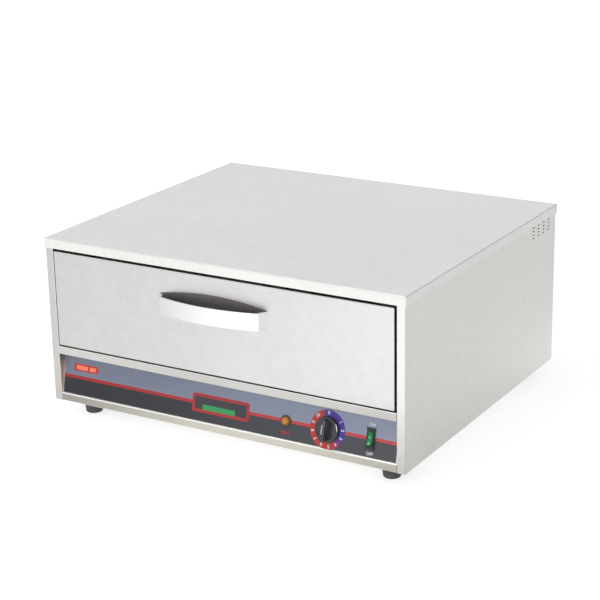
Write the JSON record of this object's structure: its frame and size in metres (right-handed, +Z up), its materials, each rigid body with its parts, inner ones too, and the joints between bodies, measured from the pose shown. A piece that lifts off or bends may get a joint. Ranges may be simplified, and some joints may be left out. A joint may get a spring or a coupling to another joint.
{
  "type": "bun warmer",
  "caption": "Low stainless countertop bun warmer: a wide heated drawer on roller slides with a bow handle, over a sloping control panel with dial, lamp and rocker switch.",
  "frame": {"origin": "on the surface that the feet stand on, under the middle of the whole outline", "axes": "+X to the right seen from the front, +Y to the rear, +Z up"},
  "size_m": [0.5886, 0.546, 0.276],
  "materials": {
    "stainless": "fine brushed stainless sheet",
    "inner_steel": "plain mill-finish stainless sheet",
    "zinc_steel": "bright zinc-plated steel",
    "chrome": "polished bright plating",
    "black_plastic": "fine-grained moulding",
    "knob_plastic": "smooth glossy moulding",
    "overlay_film": "printed film, semi-gloss",
    "amber_lens": "translucent amber moulding",
    "green_rocker": "translucent green moulding",
    "foot_rubber": "matt black rubber",
    "nylon": "white nylon",
    "bakelite": "dull pressed thermoset",
    "terminal_plastic": "white thermoset",
    "mineral_wool": "pressed mineral wool board",
    "element_sheath": "dull heat-stained alloy",
    "brass": "plain machined brass",
    "copper_tube": "drawn copper",
    "wire_cover": "silicone-covered wire"
  },
  "bodies": {
    "cabinet": {"top_cover": "stainless", "left_side_panel": "stainless", "right_side_panel": "stainless", "base_plate": "inner_steel", "rear_panel": "stainless", "bottom_rail": "stainless", "middle_rail": "stainless", "top_rail": "stainless", "control_panel": "stainless", "control_overlay": "overlay_film", "chamber_floor": "inner_steel", "chamber_ceiling": "inner_steel", "chamber_rear_wall": "inner_steel", "chamber_right_wall": "inner_steel", "chamber_left_wall": "inner_steel", "right_insulation": "mineral_wool", "left_insulation": "mineral_wool", "rear_insulation": "mineral_wool", "top_insulation": "mineral_wool", "heat_shield": "inner_steel", "heating_element": "element_sheath", "element_clips": "inner_steel", "element_bushings": "brass", "thermostat_body": "bakelite", "thermostat_nut": "brass", "thermostat_probe": "copper_tube", "probe_clips": "inner_steel", "indicator_housing": "black_plastic", "indicator_lens": "amber_lens", "switch_housing": "black_plastic", "terminal_block": "terminal_plastic", "cable_gland": "black_plastic", "gland_nut": "black_plastic", "earth_stud": "brass", "wiring": "wire_cover", "feet": "foot_rubber", "foot_screws": "zinc_steel", "cover_screws": "zinc_steel", "rear_panel_screws": "zinc_steel", "base_screws": "zinc_steel", "right_cabinet_rail": "zinc_steel", "left_cabinet_rail": "zinc_steel"},
    "drawer": {"drawer_front": "stainless", "drawer_front_liner": "inner_steel", "drawer_front_insulation": "mineral_wool", "drawer_frame": "inner_steel", "drawer_bottom": "inner_steel", "left_drawer_rail": "zinc_steel", "right_drawer_rail": "zinc_steel", "handle_bow": "chrome", "handle_backplate": "black_plastic", "handle_screws": "zinc_steel"},
    "knob": {"knob": "knob_plastic", "thermostat_shaft": "zinc_steel"},
    "switch_rocker": {"switch_rocker": "green_rocker"},
    "left_front_roller": {"left_front_roller": "nylon"},
    "right_front_roller": {"right_front_roller": "nylon"},
    "left_rear_roller": {"left_rear_roller": "nylon"},
    "right_rear_roller": {"right_rear_roller": "nylon"}
  },
  "joints": [
    {"name": "drawer_slide", "type": "slide", "parent": "cabinet", "child": "drawer", "axis": [0, -1, 0], "range_m": [0, 0.334]},
    {"name": "left_front_roller_turn", "type": "hinge", "parent": "cabinet", "child": "left_front_roller", "pos_m": [-0.274, -0.21, 0.1315], "axis": [1, 0, 0], "continuous": true},
    {"name": "right_front_roller_turn", "type": "hinge", "parent": "cabinet", "child": "right_front_roller", "pos_m": [0.274, -0.21, 0.1315], "axis": [1, 0, 0], "continuous": true},
    {"name": "left_rear_roller_turn", "type": "hinge", "parent": "drawer", "child": "left_rear_roller", "pos_m": [-0.272, 0.202, 0.1315], "axis": [1, 0, 0], "continuous": true},
    {"name": "right_rear_roller_turn", "type": "hinge", "parent": "drawer", "child": "right_rear_roller", "pos_m": [0.272, 0.202, 0.1315], "axis": [1, 0, 0], "continuous": true},
    {"name": "knob_turn", "type": "hinge", "parent": "cabinet", "child": "knob", "pos_m": [0.1706, -0.24006, 0.06472], "axis": [0, 0.9744, -0.225], "range_deg": [0, 315]},
    {"name": "rocker_tilt", "type": "hinge", "parent": "cabinet", "child": "switch_rocker", "pos_m": [0.2376, -0.24006, 0.06472], "axis": [1, 0, 0], "range_deg": [0, 16]}
  ],
  "couplings": [
    {"joint": "left_front_roller_turn", "follows": "drawer_slide", "rad_per_m": 111.11},
    {"joint": "right_front_roller_turn", "follows": "drawer_slide", "rad_per_m": 111.11},
    {"joint": "left_rear_roller_turn", "follows": "drawer_slide", "rad_per_m": 111.11},
    {"joint": "right_rear_roller_turn", "follows": "drawer_slide", "rad_per_m": 111.11}
  ]
}
